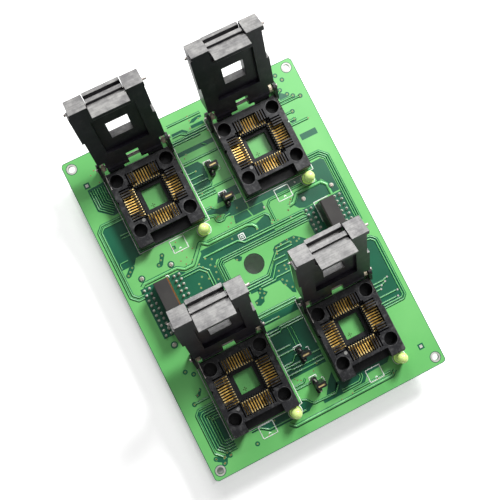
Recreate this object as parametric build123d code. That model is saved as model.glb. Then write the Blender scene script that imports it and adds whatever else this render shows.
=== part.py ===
from build123d import *
import os

# Programming socket adapter: a printed board that carries four hinged clamshell sockets
# for square 44-lead chip carriers, standing on two plug housings.
# Frame: origin at the middle of the board's underside, X along the short side,
# Y towards the socket hinges, Z up. The lids are drawn open, as they stand unloaded.
# All sizes are in millimetres.

# Board
BOARD_X = 121.0
BOARD_Y = 163.0
BOARD_T = 1.6
BOARD_CORNER_R = 2.0
HOLE_INSET = 4.0
HOLE_D = 3.2
CENTRE_HOLE_D = 9.8

# Places on the board: the aisle for the jumpers, then distances in from the edges
MIDDLE_AISLE = 21.6
SOCKET_IN_BACK = 32.5
SOCKET_IN_FRONT = 35.0
PLUG_IN_SIDE = 18.1

# General clearances
FACE_GAP = 0.3
PIN_CLEAR = 0.05
EDGE_BREAK = 0.4

# Chip carrier and its contacts
PITCH = 1.27
LEADS = 11
OPEN_LEADS = 7
SPARE_SLOTS = 1
PACKAGE_SIDE = 17.6
TIP_R = 7.5
TIP_H = 5.9
CONTACT_W = 0.5
CONTACT_T = 0.6
CONTACT_OUTER_R = 13.6
CONTACT_RISE = 5.9
CONTACT_DIP_R = 9.2
CONTACT_DIP_H = 5.0
TIP_HALF = 0.2
SLOT_W = 0.72

# Socket base, heights above the board
BASE_HALF_X = 16.7
BASE_FRONT = 20.2
BASE_REAR = 17.3
BASE_H = 7.7
SEAT_H = 5.3
SLOT_FLOOR_H = 3.0
OPEN_FLOOR_H = 3.7
SLOT_END_GAP = 0.3
BASE_CORNER = 0.8
WELL_HALF = 6.6
WELL_FLOOR_H = 1.8
WINDOW_HALF = 4.9
POCKET_CLEAR = 0.2
INDEX_LEG = 1.2
INDEX_POST_IN = 8.1
INDEX_POST_SIDE = 1.5
INDEX_POST_H = 7.3
GUIDE_HOLE_D = 6.3
GUIDE_HOLE_SPACING = 25.0
GUIDE_HOLE_DEPTH = 6.9
SIDE_NOTCH_Y = 3.0
SIDE_NOTCH_W = 1.2
SIDE_NOTCH_DEPTH = 0.8

# Hinge
HINGE_BACK = 2.9
HINGE_H = 10.3
HINGE_PIN_D = 1.6
HINGE_PIN_OUT = 0.8
LUG_LAP = 0.4
LUG_T = 1.5
LUG_R = 2.6
LUG_ROOT = 2.0
LUG_DROP = 1.0
KNUCKLE_R = 2.6
KNUCKLE_IN = 3.0
SPRING_ROOM = 2.7
LID_OPEN_ANGLE = 117.5
STOP_GAP = 0.15
HEEL_IN = 6.0
HEEL_DROP = 1.5
HEEL_TOE = 0.4

# Hinge spring
WIRE_D = 0.55
COIL_R = 1.62
COIL_TURNS = 4
SPRING_LEG_IN = 0.3
SPRING_LEG_LENGTH = 7.4
LEG_GROOVE_W = 0.8
LEG_GROOVE_DEPTH = 0.75

# Lid, drawn closed: U runs from the hinge axis along the lid to its front end
LID_START_U = 5.0
LID_END_IN = 1.2
LID_REST_GAP = 0.26
LID_T = 9.0
LID_BACK_ROUND = 2.0
LID_INNER_RECESS = 1.8
LID_INNER_HALF_X = 10.2
LID_INNER_HALF_U = 10.6
LID_WINDOW_HALF = 5.1
LID_WINDOW_HALF_U = 4.65
LID_BACK_RECESS = 2.9
LID_BACK_HALF = 8.6
LID_RIB_W = 0.9
LID_RIB_U = 21.2
LID_RIB_END_IN = 1.6
LID_STEP_W = 1.2
LID_STEP_END_IN = 2.4
LID_SIDE_H = 2.0
WEB_LAP = 0.5
WEB_FOOT = 1.1
WEB_TOP = 5.0

# Latch, with heights above the hinge axis and drops below it when the lid is closed
LATCH_HALF_X = 8.4
LATCH_GAP = 0.3
LATCH_FACE_IN = 0.85
LATCH_DEPTH = 3.95
LATCH_ROOM = 2.0
LATCH_TOP_H = 7.9
LATCH_HIP_H = 0.4
LATCH_WAIST_DROP = 2.9
HOOK_TIP_DROP = 8.0
HOOK_PLATE_T = 1.45
NOSE_LENGTH = 1.0
NOSE_DROP = 6.3
NOSE_CHAMFER = 0.9
MID_BAR_LOW_H = 1.07
MID_BAR_TOP_H = 3.3
TOP_BAR_T = 2.0
GROOVE_DROP = 1.45
GROOVE_DEPTH = 1.3
THUMB_SLOT_DEPTH = 2.8
LATCH_PIN_IN = 2.21
LATCH_PIN_H = 2.3
LATCH_PIN_D = 1.2
LATCH_PIN_OUT = 1.9
LATCH_BAY_HALF_X = 9.4
LATCH_BAY_FLOOR_H = 1.6
LIP_GAP = 0.25
LIP_UNDERCUT = 1.15

# Plug housings under the board, their pins and the blocks between the pins
ROWS = 10
ROW_PITCH = 2.54
COLUMN_R = (6.35, 8.89)
PIN_SQ = 0.64
PIN_UP = 1.5
PIN_SEAT = 3.0
PLUG_X_SIZE = 23.0
PLUG_Y_SIZE = 38.0
PLUG_H = 14.0
PLUG_CORNER = 1.2
GUIDE_BLOCK_X = 6.6
GUIDE_BLOCK_Y = 24.0
GUIDE_BLOCK_H = 11.4
LEG_PAD_X = 7.5
LEG_PAD_Y = 17.0
LEG_SQ = 1.2
LEG_UP = 0.6
STRIP_T = 0.35

# Indicator lamps
LAMP_D = 5.0
LAMP_FLANGE_D = 5.6
LAMP_FLANGE_T = 1.0
LAMP_H = 8.4
LAMP_STANDOFF = 0.4
LAMP_IN_SIDE = 3.1
LAMP_BACK_OUT = 4.1
LAMP_FRONT_OUT = 3.0
LAMP_LEAD_PITCH = 2.54
LAMP_LEAD_SQ = 0.5

# Jumper headers: three pins in line, one beside the middle pin, and a two-way link
JUMPER_BACK_X = 1.6
JUMPER_FRONT_X = 0.4
JUMPER_BACK_IN = (32.3, 48.5)
JUMPER_FRONT_IN = (34.1, 18.5)
LINE_PINS = 3
HEADER_W = 2.5
HEADER_H = 2.5
HEADER_PIN_UP = 7.8
LEAD_TAIL = 1.0
LINK_H = 7.2
LINK_GAP = 0.05
LINK_BORE_CLEAR = 0.1
CLIP_T = 0.3
CLIP_LIFT = 0.4

# Worked out from the sizes above
TOP = BOARD_T
HOLE_SPACING_X = BOARD_X - 2 * HOLE_INSET
HOLE_SPACING_Y = BOARD_Y - 2 * HOLE_INSET
SOCKET_X = MIDDLE_AISLE / 2 + BASE_HALF_X
PLUG_X = BOARD_X / 2 - PLUG_IN_SIDE
HINGE_Y = BASE_REAR + HINGE_BACK
HINGE_Z = TOP + HINGE_H
BASE_TOP = TOP + BASE_H
LUG_IN = BASE_HALF_X - LUG_LAP
KNUCKLE_OUT = LUG_IN - SPRING_ROOM
SPRING_LEG_X = LUG_IN - SPRING_LEG_IN
SPRING_LEG_END_Y = BASE_REAR - SPRING_LEG_LENGTH
LID_DROP = HINGE_H - BASE_H - LID_REST_GAP
LID_TOP_H = LID_T - LID_DROP
LID_END_U = HINGE_Y + BASE_FRONT - LID_END_IN
LATCH_FACE_U = LID_END_U - LATCH_FACE_IN
LATCH_BACK_U = LATCH_FACE_U - LATCH_DEPTH
LATCH_PIN_U = LATCH_FACE_U - LATCH_PIN_IN
POCKET_HALF = PACKAGE_SIDE / 2 + POCKET_CLEAR
SLOT_OUTER_R = CONTACT_OUTER_R + SLOT_END_GAP
NOSE_U = LATCH_FACE_U - HOOK_PLATE_T - NOSE_LENGTH
LIP_Y = HINGE_Y - NOSE_U + LIP_GAP
SOCKETS = {
    "back_left": (-SOCKET_X, BOARD_Y / 2 - SOCKET_IN_BACK),
    "back_right": (SOCKET_X, BOARD_Y / 2 - SOCKET_IN_BACK),
    "front_left": (-SOCKET_X, SOCKET_IN_FRONT - BOARD_Y / 2),
    "front_right": (SOCKET_X, SOCKET_IN_FRONT - BOARD_Y / 2),
}
JUMPERS = {
    "back_outer": (JUMPER_BACK_X, BOARD_Y / 2 - JUMPER_BACK_IN[0]),
    "back_inner": (JUMPER_BACK_X, BOARD_Y / 2 - JUMPER_BACK_IN[1]),
    "front_inner": (JUMPER_FRONT_X, JUMPER_FRONT_IN[0] - BOARD_Y / 2),
    "front_outer": (JUMPER_FRONT_X, JUMPER_FRONT_IN[1] - BOARD_Y / 2),
}
PLUGS = {"left": -PLUG_X, "right": PLUG_X}


def block(x0, x1, y0, y1, z0, z1):
    """A box between two corners."""
    middle = Pos((x0 + x1) / 2, (y0 + y1) / 2, (z0 + z1) / 2)
    return middle * Box(abs(x1 - x0), abs(y1 - y0), abs(z1 - z0))


def side_prism(points, x0, x1):
    """A side outline of (y, z) points, carried across the width from x0 to x1."""
    face = make_face(Polyline(*points, close=True))
    return Plane.YZ.offset(x0) * extrude(face, amount=x1 - x0)


def cross_rod(radius, x0, x1, y, z):
    """A round rod along X."""
    return Plane.YZ.offset(x0) * (Pos(y, z) * extrude(Circle(radius), amount=x1 - x0))


def wire(start, end, diameter):
    """A straight round wire between two points."""
    line = Edge.make_line(start, end)
    return sweep(Plane(line @ 0, z_dir=line % 0) * Circle(diameter / 2), path=line)


def both_sides(shape):
    """A shape and its mirror image across the socket's middle."""
    return [shape, mirror(shape, about=Plane.YZ)]


def square_holes(places, side):
    """Square cutters through the board at the given places."""
    cutter = Box(side, side, 3 * BOARD_T)
    return [Pos(x, y, BOARD_T / 2) * cutter for x, y in places]


def plug_pin_places(plug_x):
    """The forty pins of one plug: two columns on each side, ten rows."""
    rows = [(i - (ROWS - 1) / 2) * ROW_PITCH for i in range(ROWS)]
    return [(plug_x + side * r, y) for side in (-1, 1) for r in COLUMN_R for y in rows]


def plug_leg_places(plug_x):
    """The four solder legs at the corners of one plug."""
    return [(plug_x + a * LEG_PAD_X, b * LEG_PAD_Y) for a in (-1, 1) for b in (-1, 1)]


def header_pin_places(x, y):
    """The pins of a jumper header: three in line along Y and one beside the middle pin."""
    line = [(x, y + (i - (LINE_PINS - 1) / 2) * ROW_PITCH) for i in range(LINE_PINS)]
    return line + [(x + ROW_PITCH, y)]


def lamp_places():
    """One lamp in front of each socket, at its right corner."""
    out = {"back": LAMP_BACK_OUT, "front": LAMP_FRONT_OUT}
    return {name: (x + BASE_HALF_X - LAMP_IN_SIDE, y - BASE_FRONT - out[name.split("_")[0]])
            for name, (x, y) in SOCKETS.items()}


def lamp_lead_places(x, y):
    return [(x - LAMP_LEAD_PITCH / 2, y), (x + LAMP_LEAD_PITCH / 2, y)]


def circuit_board():
    board = extrude(RectangleRounded(BOARD_X, BOARD_Y, BOARD_CORNER_R), amount=BOARD_T)
    corner = Cylinder(HOLE_D / 2, 3 * BOARD_T)
    cuts = [Pos(a * HOLE_SPACING_X / 2, b * HOLE_SPACING_Y / 2, 0) * corner for a in (-1, 1) for b in (-1, 1)]
    cuts.append(Cylinder(CENTRE_HOLE_D / 2, 3 * BOARD_T))
    for x in PLUGS.values():
        cuts += square_holes(plug_pin_places(x), PIN_SQ + 2 * PIN_CLEAR)
        cuts += square_holes(plug_leg_places(x), LEG_SQ + 2 * PIN_CLEAR)
    for x, y in JUMPERS.values():
        cuts += square_holes(header_pin_places(x, y), PIN_SQ + 2 * PIN_CLEAR)
    for x, y in lamp_places().values():
        cuts += square_holes(lamp_lead_places(x, y), LAMP_LEAD_SQ + 2 * PIN_CLEAR)
    return board - cuts


def comb_slots():
    """Slots for the contact arms on all four sides, with spare ones and an open middle part."""
    count = LEADS + 2 * SPARE_SLOTS
    open_half = (OPEN_LEADS - 1) * PITCH / 2 + SLOT_W / 2
    trench = block(POCKET_HALF, SLOT_OUTER_R, -open_half, open_half, TOP + OPEN_FLOOR_H, BASE_TOP + 1)
    slots = [Rot(Z=turn) * trench for turn in (0, 90, 180, 270)]
    for i in range(count):
        y = (i - (count - 1) / 2) * PITCH
        slot = block(WELL_HALF, SLOT_OUTER_R, y - SLOT_W / 2, y + SLOT_W / 2, TOP + SLOT_FLOOR_H, BASE_TOP + 1)
        slots += [Rot(Z=turn) * slot for turn in (0, 90, 180, 270)]
    return slots


def hinge_lug():
    """The right-hand lug that holds the hinge pin, standing behind the base."""
    front = BASE_REAR - LUG_ROOT
    foot = side_prism(
        [(front, TOP), (HINGE_Y + LUG_R, TOP), (HINGE_Y + LUG_R, HINGE_Z),
         (HINGE_Y - LUG_R, HINGE_Z), (front, BASE_TOP - LUG_DROP)],
        LUG_IN, LUG_IN + LUG_T)
    return foot + cross_rod(LUG_R, LUG_IN, LUG_IN + LUG_T, HINGE_Y, HINGE_Z)


def index_post():
    """Small post that marks the corner of the first lead, bevelled towards the package."""
    far = -INDEX_POST_IN - INDEX_POST_SIDE
    post = block(far, -INDEX_POST_IN, far, -INDEX_POST_IN, TOP + SLOT_FLOOR_H, TOP + INDEX_POST_H)
    inner_edge = post.edges().filter_by(Axis.Z).sort_by(lambda e: e.center().X + e.center().Y)[-1]
    return chamfer(inner_edge, INDEX_POST_SIDE / 3)


def socket_base():
    """Body of one socket: comb of contact slots, package seat, guide holes, catch and lugs."""
    body = block(-BASE_HALF_X, BASE_HALF_X, -BASE_FRONT, BASE_REAR, TOP, BASE_TOP)
    body = chamfer(body.edges().filter_by(Axis.Z), BASE_CORNER)
    body = chamfer(body.faces().sort_by(Axis.Z)[-1].edges(), EDGE_BREAK)
    for lug in both_sides(hinge_lug()):
        body += lug
    cuts = comb_slots()
    pocket = block(-POCKET_HALF, POCKET_HALF, -POCKET_HALF, POCKET_HALF, TOP + SEAT_H, BASE_TOP + 1)
    index_edge = [e for e in pocket.edges().filter_by(Axis.Z) if e.center().X < 0 and e.center().Y < 0]
    pocket = chamfer(index_edge, INDEX_LEG)
    cuts.append(pocket)
    cuts.append(block(-WELL_HALF, WELL_HALF, -WELL_HALF, WELL_HALF, TOP + WELL_FLOOR_H, BASE_TOP + 1))
    cuts.append(block(-WINDOW_HALF, WINDOW_HALF, -WINDOW_HALF, WINDOW_HALF, 0, BASE_TOP))
    hole = Cylinder(GUIDE_HOLE_D / 2, GUIDE_HOLE_DEPTH + 1, align=(Align.CENTER, Align.CENTER, Align.MIN))
    half = GUIDE_HOLE_SPACING / 2
    cuts += [Pos(a * half, b * half, BASE_TOP - GUIDE_HOLE_DEPTH) * hole for a in (-1, 1) for b in (-1, 1)]
    cuts.append(side_prism(
        [(-BASE_FRONT - 1, TOP + LATCH_BAY_FLOOR_H), (LIP_Y + LIP_UNDERCUT, TOP + LATCH_BAY_FLOOR_H),
         (LIP_Y + LIP_UNDERCUT, HINGE_Z - NOSE_DROP + LIP_GAP), (LIP_Y, HINGE_Z - NOSE_DROP + LIP_GAP),
         (LIP_Y, BASE_TOP + 1), (-BASE_FRONT - 1, BASE_TOP + 1)],
        -LATCH_BAY_HALF_X, LATCH_BAY_HALF_X))
    groove = block(SPRING_LEG_X - LEG_GROOVE_W / 2, SPRING_LEG_X + LEG_GROOVE_W / 2,
                   SPRING_LEG_END_Y - FACE_GAP, BASE_REAR + 1, BASE_TOP - LEG_GROOVE_DEPTH, BASE_TOP + 1)
    notch = block(BASE_HALF_X - SIDE_NOTCH_DEPTH, BASE_HALF_X + 1, SIDE_NOTCH_Y - SIDE_NOTCH_W / 2,
                  SIDE_NOTCH_Y + SIDE_NOTCH_W / 2, TOP + BASE_H / 2, BASE_TOP + 1)
    for cut in (groove, notch):
        cuts += both_sides(cut)
    cuts.append(cross_rod(HINGE_PIN_D / 2, -LUG_IN - LUG_T, LUG_IN + LUG_T, HINGE_Y, HINGE_Z))
    return body - cuts + index_post()


def socket_contacts():
    """Forty-four sprung contacts: a foot in the slot, an arm inwards and a raised tip."""
    foot = TOP + SLOT_FLOOR_H
    rise = TOP + CONTACT_RISE
    tip = TOP + TIP_H
    outer = CONTACT_OUTER_R
    dip = TOP + CONTACT_DIP_H
    profile = [(outer - CONTACT_T, foot), (outer, foot), (outer, rise), (CONTACT_DIP_R, dip),
               (TIP_R + TIP_HALF, tip), (TIP_R - TIP_HALF, tip - TIP_HALF / 2),
               (CONTACT_DIP_R - CONTACT_T / 2, dip - CONTACT_T), (outer - CONTACT_T, rise - CONTACT_T)]
    face = make_face(Polyline(*profile, close=True))
    arm = Plane.XZ.offset(-CONTACT_W / 2) * extrude(face, amount=CONTACT_W)
    contacts = []
    for turn in (0, 90, 180, 270):
        for i in range(LEADS):
            contacts.append(Rot(Z=turn) * (Pos(0, (i - (LEADS - 1) / 2) * PITCH, 0) * arm))
    return contacts


def lid_heel():
    """Heel below the knuckle that meets the back of the base when the lid is fully open.

    Drawn with the lid open, then turned to the closed position in which the lid is drawn."""
    face = BASE_REAR - HINGE_Y + STOP_GAP
    wall_top = BASE_TOP - HINGE_Z
    outline = [(0, 0), (face, wall_top), (face, wall_top - HEEL_DROP), (-HEEL_TOE, wall_top - HEEL_DROP)]
    heel = side_prism(outline, HEEL_IN, KNUCKLE_OUT)
    return Rot(X=LID_OPEN_ANGLE) * heel


def socket_lid():
    """Lid drawn closed about its hinge axis: -Y runs along the lid, +Z is its outside."""
    inner = -LID_DROP
    outer = LID_TOP_H
    half = BASE_HALF_X
    body = block(-half, half, -LID_END_U, -LID_START_U, inner, outer)
    rear_edge = [e for e in body.edges().filter_by(Axis.X)
                 if e.center().Y > -LID_START_U - 0.1 and e.center().Z > 0]
    body = fillet(rear_edge, LID_BACK_ROUND)
    front_edge = [e for e in body.edges().filter_by(Axis.X)
                  if e.center().Y < -LID_END_U + 0.1 and e.center().Z > 0]
    body = chamfer(front_edge, EDGE_BREAK)
    for side in (1, -1):
        x0, x1 = sorted((side * KNUCKLE_IN, side * KNUCKLE_OUT))
        body += cross_rod(KNUCKLE_R, x0, x1, 0, 0)
        body += side_prism([(-LID_START_U - WEB_LAP, inner), (-WEB_FOOT, inner), (0, KNUCKLE_R),
                            (-LID_START_U - WEB_LAP, WEB_TOP)], x0, x1)
    for heel in both_sides(lid_heel()):
        body += heel
    body += block(-half - LID_RIB_W, 1 - half, LID_RIB_END_IN - LID_END_U, -LID_RIB_U, inner, LID_SIDE_H)
    middle = -HINGE_Y
    cuts = [
        block(-LID_INNER_HALF_X, LID_INNER_HALF_X, middle - LID_INNER_HALF_U, middle + LID_INNER_HALF_U,
              inner - 1, inner + LID_INNER_RECESS),
        block(-LID_WINDOW_HALF, LID_WINDOW_HALF, middle - LID_WINDOW_HALF_U, middle + LID_WINDOW_HALF_U,
              inner, outer + 1),
        block(-LID_BACK_HALF, LID_BACK_HALF, middle - LID_BACK_HALF, middle + LID_BACK_HALF,
              outer - LID_BACK_RECESS, outer + 1),
        block(-LATCH_HALF_X - LATCH_GAP, LATCH_HALF_X + LATCH_GAP, -LID_END_U - 1, LATCH_ROOM - LATCH_BACK_U,
              inner - 1, outer + 1),
        block(half - LID_STEP_W, half + 1, LID_STEP_END_IN - LID_END_U, -LID_RIB_U, inner - 1, LID_SIDE_H),
        cross_rod(HINGE_PIN_D / 2 + PIN_CLEAR, -half, half, 0, 0),
        cross_rod(LATCH_PIN_D / 2, -half - 1, half + 1, -LATCH_PIN_U, LATCH_PIN_H),
    ]
    return body - cuts


def socket_latch():
    """Latch drawn with the closed lid: thumb bar at the top, hook plate and nose below."""
    face = -LATCH_FACE_U
    back = -LATCH_BACK_U
    plate = face + HOOK_PLATE_T
    top_bar = LATCH_TOP_H - TOP_BAR_T
    thumb = face + THUMB_SLOT_DEPTH
    outline = [
        (face, -HOOK_TIP_DROP), (face, -GROOVE_DROP), (face + GROOVE_DEPTH, -GROOVE_DROP),
        (face + GROOVE_DEPTH, MID_BAR_LOW_H), (face, MID_BAR_LOW_H), (face, MID_BAR_TOP_H),
        (thumb, MID_BAR_TOP_H), (thumb, top_bar), (face + EDGE_BREAK, top_bar), (face + EDGE_BREAK, LATCH_TOP_H),
        (back, LATCH_TOP_H), (back, -LATCH_HIP_H), (plate, -LATCH_WAIST_DROP), (plate, -NOSE_DROP),
        (-NOSE_U, -NOSE_DROP), (-NOSE_U, NOSE_CHAMFER - HOOK_TIP_DROP), (plate, -HOOK_TIP_DROP),
    ]
    latch = side_prism(outline, -LATCH_HALF_X, LATCH_HALF_X)
    return latch - cross_rod(LATCH_PIN_D / 2 + PIN_CLEAR, -LATCH_HALF_X, LATCH_HALF_X, -LATCH_PIN_U, LATCH_PIN_H)


def hinge_pin():
    half = LUG_IN + LUG_T + HINGE_PIN_OUT
    return cross_rod(HINGE_PIN_D / 2, -half, half, 0, 0)


def latch_pin():
    half = BASE_HALF_X + LATCH_PIN_OUT
    return cross_rod(LATCH_PIN_D / 2, -half, half, -LATCH_PIN_U, LATCH_PIN_H)


def hinge_spring():
    """Right-hand torsion spring about the hinge axis: close-wound turns and the base's leg."""
    start = KNUCKLE_OUT + FACE_GAP
    length = COIL_TURNS * WIRE_D
    outer = COIL_R + WIRE_D / 2
    inner = COIL_R - WIRE_D / 2
    valley = COIL_R + WIRE_D / 8
    profile = [(start, inner)]
    for turn in range(COIL_TURNS):
        x = start + turn * WIRE_D
        profile += [(x, valley), (x + 0.3 * WIRE_D, outer), (x + 0.7 * WIRE_D, outer)]
    profile += [(start + length, valley), (start + length, inner)]
    coil = revolve(make_face(Polyline(*profile, close=True)), axis=Axis.X)
    leg_z = BASE_TOP - LEG_GROOVE_DEPTH + WIRE_D / 2 - HINGE_Z
    knee = (SPRING_LEG_X, BASE_REAR + FACE_GAP - HINGE_Y, leg_z)
    root = (SPRING_LEG_X - WIRE_D, -0.4, -COIL_R)
    base_leg = wire(root, knee, WIRE_D)
    base_leg += wire(knee, (SPRING_LEG_X, SPRING_LEG_END_Y - HINGE_Y, leg_z), WIRE_D)
    base_leg += Pos(*knee) * Sphere(WIRE_D / 2)
    return coil + base_leg


def plug_housing(plug_x):
    """Plain moulding of one plug under the board, with seats for its pins."""
    body = block(-PLUG_X_SIZE / 2, PLUG_X_SIZE / 2, -PLUG_Y_SIZE / 2, PLUG_Y_SIZE / 2, -PLUG_H, 0)
    body = fillet(body.edges().filter_by(Axis.Z), PLUG_CORNER)
    body = chamfer(body.faces().sort_by(Axis.Z)[0].edges(), EDGE_BREAK)
    seat = Box(PIN_SQ, PIN_SQ, 2 * PIN_SEAT)
    return Pos(plug_x, 0, 0) * body - [Pos(x, y, 0) * seat for x, y in plug_pin_places(plug_x)]


def plug_pins(plug_x):
    """Forty square pins and four solder legs of one plug."""
    half = PIN_SQ / 2
    pin = block(-half, half, -half, half, -PIN_SEAT, TOP + PIN_UP)
    pin = chamfer(pin.faces().sort_by(Axis.Z)[-1].edges(), PIN_SQ / 4)
    leg = block(-LEG_SQ / 2, LEG_SQ / 2, -LEG_SQ / 2, LEG_SQ / 2, 0, TOP + LEG_UP)
    pins = [Pos(x, y, 0) * pin for x, y in plug_pin_places(plug_x)]
    return pins + [Pos(x, y, 0) * leg for x, y in plug_leg_places(plug_x)]


def guide_block(plug_x):
    """Tall block standing on the board between the two sets of pins."""
    body = block(-GUIDE_BLOCK_X / 2, GUIDE_BLOCK_X / 2, -GUIDE_BLOCK_Y / 2, GUIDE_BLOCK_Y / 2,
                 TOP, TOP + GUIDE_BLOCK_H)
    body = chamfer(body.faces().sort_by(Axis.Z)[-1].edges(), EDGE_BREAK / 2)
    return Pos(plug_x, 0, 0) * body


def guide_strip(plug_x):
    """Thin strip on the side of the guide block that faces the board's middle."""
    side = -1 if plug_x > 0 else 1
    x0 = plug_x + side * GUIDE_BLOCK_X / 2
    half = GUIDE_BLOCK_Y / 2
    return block(x0, x0 + side * STRIP_T, -half, half, TOP, TOP + GUIDE_BLOCK_H - EDGE_BREAK)


def lamp_lens(x, y):
    """Domed lens with its flange, standing just above the board."""
    r = LAMP_D / 2
    low = TOP + LAMP_STANDOFF
    flange = Cylinder(LAMP_FLANGE_D / 2, LAMP_FLANGE_T, align=(Align.CENTER, Align.CENTER, Align.MIN))
    barrel = Cylinder(r, LAMP_H - r, align=(Align.CENTER, Align.CENTER, Align.MIN))
    dome = Pos(0, 0, LAMP_H - r) * Sphere(r)
    return Pos(x, y, low) * (flange + barrel + dome)


def lamp_leads(x, y):
    """Two square leads from under the board to the lens."""
    half = LAMP_LEAD_SQ / 2
    return [block(px - half, px + half, py - half, py + half, -LEAD_TAIL, TOP + LAMP_STANDOFF)
            for px, py in lamp_lead_places(x, y)]


def header_body(x, y):
    """Moulded strip round the three pins in line, with one more cell beside the middle one."""
    half = HEADER_W / 2
    length = LINE_PINS * ROW_PITCH / 2
    body = block(x - half, x + half, y - length, y + length, TOP, TOP + HEADER_H)
    body += block(x, x + ROW_PITCH + half, y - half, y + half, TOP, TOP + HEADER_H)
    body = chamfer(body.edges().filter_by(Axis.Z), EDGE_BREAK)
    return body - [Pos(px, py, TOP + HEADER_H / 2) * Box(PIN_SQ, PIN_SQ, 2 * HEADER_H)
                   for px, py in header_pin_places(x, y)]


def header_pins(x, y):
    half = PIN_SQ / 2
    pin = block(-half, half, -half, half, -LEAD_TAIL, TOP + HEADER_PIN_UP)
    pin = chamfer(pin.faces().sort_by(Axis.Z)[-1].edges(), PIN_SQ / 4)
    return [Pos(px, py, 0) * pin for px, py in header_pin_places(x, y)]


def jumper_link(x, y):
    """Link over the middle pin and the one beside it, open from end to end."""
    half = HEADER_W / 2
    bore = PIN_SQ / 2 + LINK_BORE_CLEAR
    low = TOP + HEADER_H + FACE_GAP / 2
    body = block(x - half + LINK_GAP, x + ROW_PITCH + half - LINK_GAP, y - half, y + half, low, low + LINK_H)
    body = chamfer(body.edges().filter_by(Axis.Z), EDGE_BREAK)
    return body - block(x - bore, x + ROW_PITCH + bore, y - bore, y + bore, low - 1, low + LINK_H + 1)


def jumper_clip(x, y):
    """Metal clip held in the link: a bar over both pins and a leg beside each."""
    bore = PIN_SQ / 2 + LINK_BORE_CLEAR
    near = x + PIN_SQ / 2 + PIN_CLEAR
    far = x + ROW_PITCH - PIN_SQ / 2 - PIN_CLEAR
    low = TOP + HEADER_H + FACE_GAP / 2 + CLIP_LIFT
    top = low + LINK_H - 2 * CLIP_LIFT
    clip = block(x - bore, x + ROW_PITCH + bore, y - bore, y + bore, top - CLIP_T, top)
    clip += block(near, near + CLIP_T, y - bore, y + bore, low, top)
    clip += block(far - CLIP_T, far, y - bore, y + bore, low, top)
    return clip


def place_on_lid(shape, x, y):
    """Turn a piece drawn on the closed lid to the open position and set it on its socket."""
    return Pos(x, y + HINGE_Y, HINGE_Z) * (Rot(X=-LID_OPEN_ANGLE) * shape)


def write(name, shapes):
    """Write one node; several separate solids go into one compound."""
    pieces = shapes if isinstance(shapes, list) else [shapes]
    solids = [solid for piece in pieces for solid in piece.solids()]
    export_step(solids[0] if len(solids) == 1 else Compound(children=solids), f"parts/{name}.step")


def main():
    os.makedirs("parts", exist_ok=True)
    write("circuit_board", circuit_board())
    base, contacts = socket_base(), socket_contacts()
    lid, latch, pin = socket_lid(), socket_latch(), latch_pin()
    axle, springs = hinge_pin(), both_sides(hinge_spring())
    for name, (x, y) in SOCKETS.items():
        write(f"socket_base_{name}", Pos(x, y, 0) * base)
        write(f"socket_contacts_{name}", [Pos(x, y, 0) * contact for contact in contacts])
        write(f"socket_lid_{name}", place_on_lid(lid, x, y))
        write(f"socket_latch_{name}", place_on_lid(latch, x, y))
        write(f"latch_pin_{name}", place_on_lid(pin, x, y))
        write(f"hinge_pin_{name}", Pos(x, y + HINGE_Y, HINGE_Z) * axle)
        write(f"hinge_springs_{name}", [Pos(x, y + HINGE_Y, HINGE_Z) * spring for spring in springs])
    for name, (x, y) in lamp_places().items():
        write(f"indicator_lamp_{name}", lamp_lens(x, y))
    write("lamp_leads", [lead for x, y in lamp_places().values() for lead in lamp_leads(x, y)])
    for name, (x, y) in JUMPERS.items():
        write(f"jumper_header_{name}", header_body(x, y))
        write(f"jumper_link_{name}", jumper_link(x, y))
        write(f"jumper_clip_{name}", jumper_clip(x, y))
    write("jumper_pins", [pin for x, y in JUMPERS.values() for pin in header_pins(x, y)])
    for name, x in PLUGS.items():
        write(f"plug_housing_{name}", plug_housing(x))
        write(f"plug_pins_{name}", plug_pins(x))
        write(f"guide_block_{name}", guide_block(x))
        write(f"guide_strip_{name}", guide_strip(x))


main()
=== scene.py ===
import math
import bmesh
import bpy
from mathutils import Matrix, Vector


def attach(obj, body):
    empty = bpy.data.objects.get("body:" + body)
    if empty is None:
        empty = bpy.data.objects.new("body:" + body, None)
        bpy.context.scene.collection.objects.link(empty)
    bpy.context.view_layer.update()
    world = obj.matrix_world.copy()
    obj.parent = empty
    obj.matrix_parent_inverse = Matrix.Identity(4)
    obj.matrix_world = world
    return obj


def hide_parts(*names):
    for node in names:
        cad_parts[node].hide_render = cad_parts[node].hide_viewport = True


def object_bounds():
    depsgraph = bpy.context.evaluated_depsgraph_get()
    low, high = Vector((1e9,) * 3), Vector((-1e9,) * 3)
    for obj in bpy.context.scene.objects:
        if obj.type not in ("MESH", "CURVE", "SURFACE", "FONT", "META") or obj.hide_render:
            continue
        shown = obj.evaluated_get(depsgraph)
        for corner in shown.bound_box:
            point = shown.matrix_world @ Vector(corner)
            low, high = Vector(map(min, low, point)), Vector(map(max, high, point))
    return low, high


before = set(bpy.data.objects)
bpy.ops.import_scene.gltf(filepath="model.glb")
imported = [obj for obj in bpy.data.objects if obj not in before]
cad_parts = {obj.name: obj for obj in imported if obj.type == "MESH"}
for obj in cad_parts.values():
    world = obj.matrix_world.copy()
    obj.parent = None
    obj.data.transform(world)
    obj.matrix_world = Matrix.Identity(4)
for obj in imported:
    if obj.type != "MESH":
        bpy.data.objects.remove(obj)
CAD_BOX = [list(corner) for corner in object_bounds()]

# Places and sizes are in millimetres, and become metres where MM multiplies them
MM = 0.001

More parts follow.
